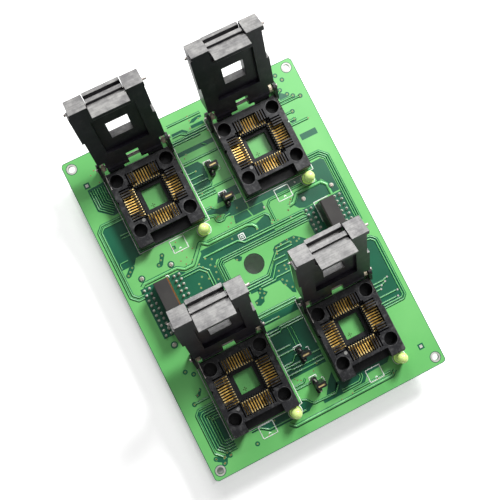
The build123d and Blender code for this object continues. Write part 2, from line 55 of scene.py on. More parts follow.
# The board's top, and how far each thin layer stands above it
BOARD_TOP = 1.6
BARE_H = 0.012
GAP_H = 0.018
CLEARANCE_H = 0.02
TRACK_H = 0.036
VIA_LAND_H = TRACK_H + 0.004
PAD_H = TRACK_H + 0.006
INK_H = 0.05
VIA_RING_H = 0.055
SCREW_LAND_H = 0.045
MIDDLE_RING_H = 0.03
FIDUCIAL_H = 0.05
TINNED_VIA_H = 0.08
MARK_H = 0.06

# Widths of lines, how much wider than its track a dark gap is, and the radii of rounded corners
EDGE_LINE, THIN_LINE, THICK_LINE = 0.26, 0.38, 0.42
GAP_WIDER = 0.75
TRACK_CORNER, LEGEND_CORNER, EDGE_CORNER = 0.8, 0.1, 1.75

# Sizes and heights of the CAD pieces, which the layers and the wire follow
BOARD_HALF_X, BOARD_HALF_Y = 60.5, 81.5
SCREW_X, SCREW_Y = 56.5, 77.5
PIN_PITCH = 2.54
PIN_COLUMNS = (6.35, 8.89)
PLUG_LEG_X, PLUG_LEG_Y = 7.5, 17.0
GUIDE_HOLE_OFFSET = 12.5
SOCKET_TOP = 9.3
HINGE_Y, HINGE_Z = 20.2, 11.9

# The round wire of the springs
COIL_R, COIL_LENGTH, COIL_TURNS = 1.62, 1.7, 3.25
WIRE_R = 0.27
SPRING_LEG_X, SPRING_LEG_Z = 16, 8.83
SPRING_LEG_BACK, SPRING_LEG_FRONT = 17.6, 9.9

# Where things stand on the board, and on each socket
EDGE_LINE_X, EDGE_LINE_Y = 60.34, 81.34
SOCKETS = {
    "back_left": (-27.5, 49.0), "back_right": (27.5, 49.0),
    "front_left": (-27.5, -46.5), "front_right": (27.5, -46.5),
}
JUMPERS = [(1.6, 49.2), (1.6, 33.0), (0.4, -47.4), (0.4, -63.0)]
LAMPS = [(-13.9, 24.7), (41.1, 24.7), (-13.9, -69.7), (41.1, -69.7)]
PLUGS = (-42.4, 42.4)
INDEX_POST = (-9.15, -8.85)
WINDOW_MARK = (-2.4, -3.3)
SIDES = (-1, 1)
CORNERS = [(a, b) for a in SIDES for b in SIDES]
PIN_ROWS = [(i - 4.5) * PIN_PITCH for i in range(10)]
PIN_PLACES = [(p + s * c, y) for p in PLUGS for s in SIDES for c in PIN_COLUMNS for y in PIN_ROWS]
PLUG_LEG_PLACES = [(p + a * PLUG_LEG_X, b * PLUG_LEG_Y) for p in PLUGS for a, b in CORNERS]
HEADER_PINS = ((0, -1), (0, 0), (0, 1), (1, 0))
HEADER_PLACES = [(x + a * PIN_PITCH, y + b * PIN_PITCH) for x, y in JUMPERS for a, b in HEADER_PINS]
SOLDERED_HEADER_PLACES = HEADER_PLACES[::3]  # at the other pins the solder is left out
FIDUCIALS = [(52.7, -70.0), (-53.5, 67.4)]

# For the materials: the depth of moulded grain in metres, the way the end of an open lid faces,
# and the heights between which a lid's wear and painted sheen set in
WHITE, BLACK = (1, 1, 1, 1), (0, 0, 0, 1)
GRAIN_DEPTH = 0.00002
LID_END_FACES = (0.0, 0.4617, 0.887)
LID_WEAR_SHEEN_LOW, LID_WEAR_SHEEN_HIGH = 22.6, 24.6

# The studio, in metres and watts. A light is (name, place, size, power), and each one looks at the origin.
WORLD_STRENGTH = 0.13
LIGHTS = [
    ("key softbox", (0.53, 0.4, 0.54), 0.2, 8.9),
    ("back softbox", (0.1, 0.76, 0.54), 0.3, 3.5),
    ("top softbox", (0.3, 0.3, 0.95), 0.3, 0.8),
]
CAMERA_PLACE = (-0.02755, -0.00902, 0.32399)
CAMERA_RIGHT, CAMERA_UP = (0.89094, -0.45047, 0.05745), (0.44540, 0.89149, 0.08286)
CAMERA_LENS, CAMERA_SENSOR = 49.71, 36.0
FLOOR_HALF, FLOOR_DROP, FLOOR_GLOW = 3, 0.0002, 0.55


def srgb(r, g, b):
    """A colour from 0 to 255 as Blender's linear values."""
    def lin(v):
        v /= 255.0
        return v / 12.92 if v <= 0.04045 else ((v + 0.055) / 1.055) ** 2.4
    return (lin(r), lin(g), lin(b), 1.0)


# Nodes of every kind of tree

def add_node(tree, kind, inputs=None, **settings):
    """A new node with its settings and inputs. An input takes a value or another node's output."""
    node = tree.nodes.new(kind)
    for name, value in settings.items():
        setattr(node, name, value)
    for label, value in (inputs or {}).items():
        if isinstance(value, bpy.types.NodeSocket):
            tree.links.new(value, node.inputs[label])
        else:
            node.inputs[label].default_value = value
    return node


def object_point(tree):
    return add_node(tree, "ShaderNodeTexCoord").outputs["Object"]


def split(tree, point):
    return add_node(tree, "ShaderNodeSeparateXYZ", {0: point}).outputs


def noise(tree, point, scale, **more):
    """Cloudy noise from 0 to 1."""
    return add_node(tree, "ShaderNodeTexNoise", {"Vector": point, "Scale": scale, **more}).outputs["Fac"]


def ramp(tree, value, low, high, least=0.0, most=1.0):
    """A value between low and high as a number from least to most."""
    limits = {"Value": value, "From Min": low, "From Max": high, "To Min": least, "To Max": most}
    return add_node(tree, "ShaderNodeMapRange", limits).outputs["Result"]


def maths(tree, operation, *values):
    return add_node(tree, "ShaderNodeMath", dict(enumerate(values)), operation=operation).outputs[0]


def vector_maths(tree, operation, *values):
    return add_node(tree, "ShaderNodeVectorMath", dict(enumerate(values)), operation=operation).outputs


def blend(tree, mask, first, second):
    """The first colour where the mask is 0 and the second where it is 1."""
    return add_node(tree, "ShaderNodeMix", {0: mask, 6: first, 7: second}, data_type="RGBA").outputs[2]


# Shader groups that several finishes share

def shader_group(name, inputs, outputs):
    """A shader group, and what its input node gives out."""
    group = bpy.data.node_groups.new(name, "ShaderNodeTree")
    for label, value in inputs.items():
        kind = "NodeSocketColor" if isinstance(value, tuple) else "NodeSocketFloat"
        group.interface.new_socket(label, in_out="INPUT", socket_type=kind).default_value = value
    for label in outputs:
        kind = "NodeSocketColor" if label == "Color" else "NodeSocketFloat"
        group.interface.new_socket(label, in_out="OUTPUT", socket_type=kind)
    return group, group.nodes.new("NodeGroupInput").outputs


def closed_group(group, **results):
    """The group with its results linked to its output node."""
    add_node(group, "NodeGroupOutput", results)
    return group


def mottle_group():
    """Soft patches between two colours, as on a surface that isn't lit or moulded quite evenly."""
    g, given = shader_group(
        "Mottle", {"Light": WHITE, "Dark": BLACK, "Scale": 60.0, "Detail": 3.0}, ("Color", "Mask"))
    mask = ramp(g, noise(g, object_point(g), given["Scale"], Detail=given["Detail"]), 0.35, 0.65)
    return closed_group(g, Color=blend(g, mask, given["Dark"], given["Light"]), Mask=mask)


def grain_group():
    """Fine moulded or drawn grain as a height for a bump, and a roughness that varies in wide patches."""
    g, given = shader_group("Grain", {"Scale": 2500.0, "Smooth": 0.4, "Rough": 0.6}, ("Height", "Roughness"))
    point = object_point(g)
    fine = noise(g, point, given["Scale"], Detail=2.0)
    wide = noise(g, point, 90.0)
    return closed_group(g, Height=fine, Roughness=ramp(g, wide, 0.0, 1.0, given["Smooth"], given["Rough"]))


def height_group():
    """How high a point is, from 0 at Low to 1 at High, in metres above the board's underside."""
    g, given = shader_group("Height on the object", {"Low": 0.0, "High": 0.01}, ("Mask",))
    return closed_group(g, Mask=ramp(g, split(g, object_point(g))["Z"], given["Low"], given["High"]))


def wear_and_sheen_end_group():
    """Faces that look along the open lid, paler in cloudy patches and fine streaks across: partly wear, partly a
    painted sheen.
    """
    g, given = shader_group(
        "Worn end of the lid", {"Moulding": BLACK, "Worn": WHITE, "Amount": 1.0}, ("Color", "Mask"))
    normal = add_node(g, "ShaderNodeNewGeometry").outputs["Normal"]
    # Where a face looks along the open lid it turns paler: partly wear, partly a painted sheen that follows the way
    # the face looks
    facing = ramp(g, vector_maths(g, "DOT_PRODUCT", normal, LID_END_FACES)["Value"], 0.93, 0.985)
    above = add_node(
        g, "ShaderNodeGroup", {"Low": LID_WEAR_SHEEN_LOW * MM, "High": LID_WEAR_SHEEN_HIGH * MM}, node_tree=HEIGHT)
    mask = maths(g, "MULTIPLY", maths(g, "MULTIPLY", facing, above.outputs["Mask"]), given["Amount"])
    point = object_point(g)
    for scale, detail, stretch, low, high, least in (
            (150.0, 5.0, (1, 1, 1), 0.36, 0.6, 0.5),
            (420.0, 6.0, (1, 1, 1), 0.32, 0.6, 0.6),
            (260.0, 3.0, (0.3, 7, 7), 0.38, 0.6, 0.72)):
        cloud = noise(g, vector_maths(g, "MULTIPLY", point, stretch)[0], scale, Detail=detail, Roughness=0.65)
        mask = maths(g, "MULTIPLY", mask, ramp(g, cloud, low, high, least))
    return closed_group(g, Color=blend(g, mask, given["Moulding"], given["Worn"]), Mask=mask)


def scuff_group():
    """Pale speckle and dull rubbed patches on black moulding, most of them on the top face."""
    g, given = shader_group("Scuffs", {
        "Moulding": BLACK, "Rubbed": WHITE, "Amount": 1.0, "Lowest": 0.0, "Highest": 0.01}, ("Color", "Mask"))
    point = object_point(g)
    patches = ramp(g, noise(g, point, 210.0, Detail=7.0, Roughness=0.7), 0.5, 0.72)
    specks = ramp(g, noise(g, point, 1900.0, Detail=2.0), 0.6, 0.72, most=0.6)
    level = ramp(g, split(g, point)["Z"], given["Lowest"], given["Highest"], 0.25)
    mask = maths(g, "MULTIPLY", maths(g, "MAXIMUM", patches, specks), level)
    mask = maths(g, "MULTIPLY", mask, given["Amount"])
    return closed_group(g, Color=blend(g, mask, given["Moulding"], given["Rubbed"]), Mask=mask)


MOTTLE = mottle_group()
GRAIN = grain_group()
HEIGHT = height_group()
WEAR_AND_SHEEN_END = wear_and_sheen_end_group()
SCUFFS = scuff_group()


class Finish:
    """A material with its Principled shader, to which the groups above are plugged in."""

    def __init__(self, name, **inputs):
        self.material = bpy.data.materials.new(name)
        self.material.use_nodes = True
        self.tree = self.material.node_tree
        self.shader = self.tree.nodes["Principled BSDF"]
        for label, value in inputs.items():
            self.shader.inputs[label.replace("_", " ")].default_value = value

    def group(self, group, output, **inputs):
        """What a shared group gives out for these inputs."""
        return add_node(self.tree, "ShaderNodeGroup", inputs, node_tree=group).outputs[output]

    def mottle(self, light, dark, scale, detail):
        return self.group(MOTTLE, "Color", Light=light, Dark=dark, Scale=scale, Detail=detail)

    def height(self, low, high):
        """0 at one height above the board's underside and 1 at another."""
        return self.group(HEIGHT, "Mask", Low=low * MM, High=high * MM)

    def painted(self, colour, grain, smooth, rough, strength):
        """The material with its colour and a fine grain plugged in."""
        fine = add_node(
            self.tree, "ShaderNodeGroup", {"Scale": grain, "Smooth": smooth, "Rough": rough}, node_tree=GRAIN)
        bump = add_node(self.tree, "ShaderNodeBump", {
            "Strength": strength, "Distance": GRAIN_DEPTH, "Height": fine.outputs["Height"]})
        for label, value in (("Base Color", colour), ("Roughness", fine.outputs["Roughness"]),
                             ("Normal", bump.outputs["Normal"])):
            self.tree.links.new(value, self.shader.inputs[label])
        return self.material


def board_finish():
    """Green solder mask over copper on both faces, and the darker cut edge between them."""
    f = Finish("solder mask over copper", Coat_Weight=0.35, Coat_Roughness=0.25)
    face = f.mottle(srgb(124, 206, 120), srgb(108, 194, 108), 22.0, 3.0)
    either = maths(f.tree, "MAXIMUM", f.height(1.5, 1.58), f.height(0.1, 0.02))
    return f.painted(blend(f.tree, either, srgb(58, 104, 62), face), 500.0, 0.32, 0.42, 0.08)


def film_finish(name, light, dark, smooth=0.3, rough=0.42):
    """Solder mask, ink or another thin film with a soft gloss."""
    f = Finish(name, Coat_Weight=0.35, Coat_Roughness=0.25)
    return f.painted(f.mottle(light, dark, 40.0, 3.0), 600.0, smooth, rough, 0.08)


def moulded_finish(name, light, dark, smooth=0.36, rough=0.5, strength=0.2, patches=130.0, detail=4.0):
    """Moulded plastic with fine grain and faint uneven patches."""
    f = Finish(name)
    return f.painted(f.mottle(light, dark, patches, detail), 3200.0, smooth, rough, strength)


def lid_finish(name, light, dark):
    """Black lid moulding whose end is pale grey, partly wear and partly a painted sheen."""
    f = Finish(name)
    black = f.mottle(light, dark, 130.0, 4.0)
    rubbed = f.group(SCUFFS, "Color", Moulding=black, Rubbed=srgb(96, 96, 98), Amount=0.3,
                     Lowest=0.0, Highest=1.0 * MM)
    # The pale grey on the faces that look along the open lid is partly wear and partly a painted sheen
    paler_end = f.group(WEAR_AND_SHEEN_END, "Color", Moulding=rubbed, Worn=srgb(164, 163, 160), Amount=1.0)
    return f.painted(paler_end, 3200.0, 0.3, 0.44, 0.2)


def socket_finish():
    """Black glass-filled moulding, rubbed grey in patches on its top face."""
    f = Finish("socket moulding")
    black = f.mottle(srgb(40, 40, 43), srgb(28, 28, 31), 130.0, 4.0)
    rubbed = f.group(SCUFFS, "Color", Moulding=black, Rubbed=srgb(112, 112, 112), Amount=0.75,
                     Lowest=8.6 * MM, Highest=9.2 * MM)
    return f.painted(rubbed, 3200.0, 0.34, 0.5, 0.25)


def metal_finish(name, light, dark, smooth, rough, metallic, patches=400.0):
    f = Finish(name, Metallic=metallic)
    return f.painted(f.mottle(light, dark, patches, 2.0), 2500.0, smooth, rough, 0.12)


def contact_finish():
    """Gold contacts, paler towards the top of the tips."""
    f = Finish("gold contact", Metallic=0.45)
    gold = f.mottle(srgb(240, 200, 106), srgb(204, 156, 68), 700.0, 2.0)
    # Paler gold above 7.2 mm, at the top of the tips
    paler_end = blend(f.tree, f.height(7.2, 7.48), gold, srgb(246, 222, 156))
    return f.painted(paler_end, 1500.0, 0.28, 0.42, 0.1)


def lamp_finish():
    """Pale yellow-green diffusing lens with a weak painted glow, and lighter towards its dome as a painted
    highlight.
    """
    # The weak emission is a painted glow that lifts the lens's shaded side
    f = Finish("lamp lens", Coat_Weight=0.6, Transmission_Weight=0.12, Subsurface_Weight=0.35,
               Subsurface_Radius=(0.002, 0.002, 0.001), Emission_Color=srgb(214, 250, 150), Emission_Strength=0.14)
    # Lighter towards the dome: a painted highlight
    colour = blend(f.tree, f.height(3.0, 9.5), srgb(196, 224, 104), srgb(228, 248, 156))
    return f.painted(colour, 900.0, 0.14, 0.24, 0.03)


FINISH = {
    "board": board_finish(),
    "bare": film_finish("solder mask over bare board", srgb(26, 106, 76), srgb(18, 86, 62)),
    "track": film_finish("solder mask over a track", srgb(122, 204, 126), srgb(104, 188, 112)),
    "ink": film_finish("white legend ink", srgb(250, 252, 248), srgb(232, 240, 230), 0.55, 0.7),
    "socket": socket_finish(),
    "lid": lid_finish("lid moulding", srgb(46, 42, 54), srgb(34, 30, 42)),
    "latch": lid_finish("latch moulding", srgb(46, 43, 53), srgb(36, 33, 42)),
    "post": moulded_finish("index post tip", srgb(156, 156, 152), srgb(104, 104, 104), 0.4, 0.6),
    "header": moulded_finish("header moulding", srgb(34, 34, 35), srgb(26, 26, 27)),
    "block": moulded_finish("guide block moulding", srgb(62, 60, 58), srgb(52, 50, 49), 0.5, 0.65),
    "plug": moulded_finish("plug moulding", srgb(40, 40, 41), srgb(32, 32, 33)),
    "contact": contact_finish(),
    "tin": metal_finish("tinned pin", srgb(238, 234, 224), srgb(204, 200, 190), 0.22, 0.38, 0.5),
    "solder": metal_finish("solder", srgb(250, 248, 240), srgb(204, 200, 188), 0.2, 0.34, 0.4, 900.0),
    "land": metal_finish("tinned land", srgb(226, 224, 218), srgb(188, 186, 180), 0.3, 0.45, 0.25, 300.0),
    # Grey rings on the guide holes' rims: a painted highlight, uneven in patches
    "rim": moulded_finish(
        "painted highlight on a hole's rim", srgb(92, 92, 93), srgb(28, 28, 31), 0.3, 0.5, patches=520.0, detail=5.0),
    "mark": film_finish("dark mark on the board", srgb(74, 78, 44), srgb(58, 62, 36)),
    "steel": metal_finish("steel pin", srgb(244, 232, 228), srgb(214, 202, 196), 0.24, 0.36, 0.4),
    "wire": metal_finish("spring wire", srgb(254, 244, 220), srgb(232, 216, 186), 0.26, 0.4, 0.15),
    # Lit and shaded copies of the spring wire: the left legs get a painted highlight, the right legs painted shade
    "wire with painted highlight": metal_finish("spring leg with painted highlight", srgb(254, 250, 244), srgb(240, 232, 222), 0.3, 0.42, 0.1),
    "wire with painted shade": metal_finish("spring leg with painted shade", srgb(120, 114, 106), srgb(84, 80, 74), 0.3, 0.45, 0.4),
    "via": moulded_finish("via ring", srgb(178, 112, 84), srgb(140, 84, 62), 0.4, 0.5, 0.05),
    # The right guide strip is drawn nearly black, where the left one is amber
    "near-black strip": film_finish("near-black strip", srgb(44, 34, 26), srgb(34, 28, 22), 0.3, 0.4),
    "amber": film_finish("amber film", srgb(150, 92, 34), srgb(118, 70, 26), 0.3, 0.4),
    "lamp": lamp_finish(),
}

NODE_FINISH = {
    "circuit_board": "board", "socket_base": "socket", "socket_contacts": "contact", "socket_lid": "lid",
    "socket_latch": "latch", "latch_pin": "steel", "hinge_pin": "steel", "hinge_springs": "wire",
    "indicator_lamp": "lamp", "lamp_leads": "tin", "jumper_header": "header", "jumper_link": "header",
    "jumper_clip": "contact", "jumper_pins": "tin", "plug_housing": "plug", "plug_pins": "tin",
    "guide_block": "block", "guide_strip": "amber", "guide_strip_right": "near-black strip",
}


def dress_cad_nodes():
    """Each CAD node takes the finish of the longest name above that its own name begins with."""
    for name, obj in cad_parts.items():
        key = max((k for k in NODE_FINISH if name.startswith(k)), key=len)
        obj.data.materials.clear()
        obj.data.materials.append(FINISH[NODE_FINISH[key]])


# Geometry Nodes trees

def geometry_tree(name, inputs):
    """A tree that takes a mesh, these inputs and a material, and what its input node gives out."""
    tree = bpy.data.node_groups.new(name, "GeometryNodeTree")
    tree.interface.new_socket("Geometry", in_out="INPUT", socket_type="NodeSocketGeometry")
    for label, value in inputs.items():
        kind = "NodeSocketInt" if isinstance(value, int) else "NodeSocketFloat"
        tree.interface.new_socket(label, in_out="INPUT", socket_type=kind).default_value = value
    tree.interface.new_socket("Material", in_out="INPUT", socket_type="NodeSocketMaterial")
    tree.interface.new_socket("Geometry", in_out="OUTPUT", socket_type="NodeSocketGeometry")
    return tree, tree.nodes.new("NodeGroupInput").outputs


def closed_tree(tree, geometry, material):
    """The tree with its end: instances made real and given the material."""
    real = add_node(tree, "GeometryNodeRealizeInstances", {"Geometry": geometry}).outputs["Geometry"]
    paint = add_node(tree, "GeometryNodeSetMaterial", {"Geometry": real, "Material": material})
    add_node(tree, "NodeGroupOutput", {"Geometry": paint.outputs["Geometry"]})
    return tree


def ribbon_tree():
    """A flat ribbon with rounded corners laid along each path."""
    t, given = geometry_tree("Ribbon along a path", {"Width": 0.0004, "Thickness": 0.00003, "Corner": 0.0005})
    curve = add_node(t, "GeometryNodeMeshToCurve", {"Mesh": given["Geometry"]})
    fillet = add_node(t, "GeometryNodeFilletCurve", {
        "Curve": curve.outputs["Curve"], "Radius": given["Corner"], "Count": 3, "Limit Radius": True}, mode="POLY")
    normal = add_node(t, "GeometryNodeSetCurveNormal", {"Curve": fillet.outputs["Curve"]}, mode="Z_UP")
    profile = add_node(t, "GeometryNodeCurvePrimitiveQuadrilateral", {
        "Width": given["Width"], "Height": given["Thickness"]})
    sweep = add_node(t, "GeometryNodeCurveToMesh", {
        "Curve": normal.outputs["Curve"], "Profile Curve": profile.outputs["Curve"], "Fill Caps": True})
    return closed_tree(t, sweep.outputs["Mesh"], given["Material"])


def dot_tree():
    """A small cone or disc standing on each point: solder fillets, via rings and small marks."""
    t, given = geometry_tree("Dots on points", {
        "Foot radius": 0.0006, "Head radius": 0.0004, "Height": 0.0003, "Sides": 12})
    cone = add_node(t, "GeometryNodeMeshCone", {
        "Radius Bottom": given["Foot radius"], "Radius Top": given["Head radius"], "Depth": given["Height"],
        "Vertices": given["Sides"]})
    spread = add_node(t, "GeometryNodeInstanceOnPoints", {
        "Points": given["Geometry"], "Instance": cone.outputs["Mesh"]})
    return closed_tree(t, spread.outputs["Instances"], given["Material"])


def coil_tree():
    """Round wire wound into a close helix along X at each point."""
    t, given = geometry_tree("Coil of wire", {
        "Radius": 0.0016, "Length": 0.002, "Turns": 4.0, "Wire radius": 0.00026})
    spiral = add_node(t, "GeometryNodeCurveSpiral", {
        "Resolution": 20, "Rotations": given["Turns"], "Height": given["Length"],
        "Start Radius": given["Radius"], "End Radius": given["Radius"]})
    turn = add_node(t, "GeometryNodeTransform", {
        "Geometry": spiral.outputs["Curve"], "Rotation": (0, math.pi / 2, 0)})
    ring = add_node(t, "GeometryNodeCurvePrimitiveCircle", {"Resolution": 8, "Radius": given["Wire radius"]})
    sweep = add_node(t, "GeometryNodeCurveToMesh", {
        "Curve": turn.outputs["Geometry"], "Profile Curve": ring.outputs["Curve"], "Fill Caps": True})
    spread = add_node(t, "GeometryNodeInstanceOnPoints", {
        "Points": given["Geometry"], "Instance": sweep.outputs["Mesh"]})
    return closed_tree(t, spread.outputs["Instances"], given["Material"])


RIBBON = ribbon_tree()
DOTS = dot_tree()
COIL = coil_tree()


# Making pieces

def linked(name, data):
    """A new object in the scene."""
    obj = bpy.data.objects.new(name, data)
    bpy.context.scene.collection.objects.link(obj)
    return obj


def plain_mesh(name, verts, edges=()):
    """A mesh of points and edges."""
    mesh = bpy.data.meshes.new(name)
    mesh.from_pydata([tuple(c * MM for c in v) for v in verts], list(edges), [])
    return linked(name, mesh)


def finished(obj, body):
    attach(obj, body)
    return obj


def grown(obj, tree, **values):
    """The object's mesh as the tree makes it, kept as a plain mesh."""
    mod = obj.modifiers.new(tree.name, "NODES")
    mod.node_group = tree
    wanted = {label.replace("_", " "): value for label, value in values.items()}
    for item in tree.interface.items_tree:
        if item.item_type == "SOCKET" and item.in_out == "INPUT" and item.name in wanted:
            mod[item.identifier] = wanted.pop(item.name)
    if wanted:
        raise ValueError(f"{tree.name} has no input {sorted(wanted)}")
    evaluated = obj.evaluated_get(bpy.context.evaluated_depsgraph_get())
    mesh = bpy.data.meshes.new_from_object(evaluated)
    obj.modifiers.remove(mod)
    mesh.name = obj.name
    obj.data = mesh
    bm = bmesh.new()
    bm.from_mesh(mesh)
    close_mesh(bm, mesh)
    return obj


def close_mesh(bm, mesh):
    """Turns all faces outwards and writes them to the mesh."""
    bmesh.ops.recalc_face_normals(bm, faces=bm.faces)
    bm.to_mesh(mesh)
    bm.free()


def bmesh_piece(bm, name, finish):
    """A piece of the board's body from a bmesh."""
    mesh = bpy.data.meshes.new(name)
    close_mesh(bm, mesh)
    mesh.materials.append(FINISH[finish])
    return finished(linked(name, mesh), "board")


def lay_plates(name, outlines, height, finish):
    """Thin flat plates on the board, one for each outline."""
    bm = bmesh.new()
    for outline in outlines:
        bm.faces.new([bm.verts.new((x * MM, y * MM, (BOARD_TOP + height) * MM)) for x, y in outline])
    bmesh.ops.recalc_face_normals(bm, faces=bm.faces)
    for face in bm.faces:
        face.normal_update()
        if face.normal.z < 0:
            face.normal_flip()
    made = bmesh.ops.extrude_face_region(bm, geom=list(bm.faces))
    for part in made["geom"]:
        if isinstance(part, bmesh.types.BMVert):
            part.co.z = BOARD_TOP * MM
    return bmesh_piece(bm, name, finish)


def lay_rings(name, places, inner, outer, height, finish, sides=40, level=BOARD_TOP):
    """Flat rings on the board or on another level."""
    bm = bmesh.new()
    turns = [2 * math.pi * i / sides for i in range(sides)]
    for x, y in places:
        rows = []
        for radius, z in ((inner, 0.0), (inner, height), (outer, height), (outer, 0.0)):
            circle = [((x + radius * math.cos(a)) * MM, (y + radius * math.sin(a)) * MM) for a in turns]
            rows.append([bm.verts.new((*place, (level + z) * MM)) for place in circle])
        for first, second in zip(rows, rows[1:] + rows[:1]):
            for i in range(sides):
                j = (i + 1) % sides
                bm.faces.new((first[i], first[j], second[j], second[i]))
    return bmesh_piece(bm, name, finish)


def lay_ribbons(name, paths, width, height, corner, finish):
    """Flat ribbons of one width on the board, along the paths."""
    verts, edges = [], []
    for path in paths:
        first = len(verts)
        verts += [(x, y, BOARD_TOP + height / 2) for x, y in path]
        edges += [(first + i, first + i + 1) for i in range(len(path) - 1)]
    obj = plain_mesh(name, verts, edges)
    grown(obj, RIBBON, Width=width * MM, Thickness=height * MM, Corner=corner * MM, Material=FINISH[finish])
    return finished(obj, "board")


def lay_dots(name, places, foot, head, height, sides, finish):
    """Cones or discs of one size, standing on the board at each place."""
    obj = plain_mesh(name, [(x, y, BOARD_TOP) for x, y in places])
    grown(obj, DOTS, Foot_radius=foot * MM, Head_radius=head * MM, Height=height * MM, Sides=sides,
          Material=FINISH[finish])
    return finished(obj, "board")


def round_wire(name, points, radius, finish):
    """Round wire along a path of points."""
    curve = bpy.data.curves.new(name, "CURVE")
    curve.dimensions = "3D"
    curve.bevel_depth = radius * MM
    curve.bevel_resolution = 2
    curve.use_fill_caps = True
    spline = curve.splines.new("POLY")
    spline.points.add(len(points) - 1)
    for place, point in zip(spline.points, points):
        place.co = (*(c * MM for c in point), 1)
    path = linked("wire path", curve)
    mesh = bpy.data.meshes.new_from_object(path.evaluated_get(bpy.context.evaluated_depsgraph_get()))
    bpy.data.objects.remove(path)
    mesh.materials.clear()
    mesh.materials.append(FINISH[finish])
    return linked(name, mesh)


def offset_path(points, distance):
    """A path beside another one, to its left, with mitred corners."""
    result = []
    for i, (x, y) in enumerate(points):
        normals = []
        for a, b in ((i - 1, i), (i, i + 1)):
            if a >= 0 and b < len(points):
                dx, dy = points[b][0] - points[a][0], points[b][1] - points[a][1]
                length = math.hypot(dx, dy)
                normals.append(Vector((-dy / length, dx / length)))
        n = sum(normals, Vector((0, 0))).normalized()
        n *= distance / max(n.dot(normals[0]), 0.3)
        result.append((x + n.x, y + n.y))
    return result


def rectangle(x0, x1, y0, y1):
    return [(x0, y0), (x1, y0), (x1, y1), (x0, y1)]


def closed(outline):
    return outline + outline[:1]


def arc(x, y, radius, start, end, steps=20):
    turns = [math.radians(start + (end - start) * i / steps) for i in range(steps + 1)]
    return [(x + radius * math.cos(a), y + radius * math.sin(a)) for a in turns]


# The board's copper. Bare areas are outlines. Each track is (path, width), and where several
# run side by side (path, width, how many, their pitch).

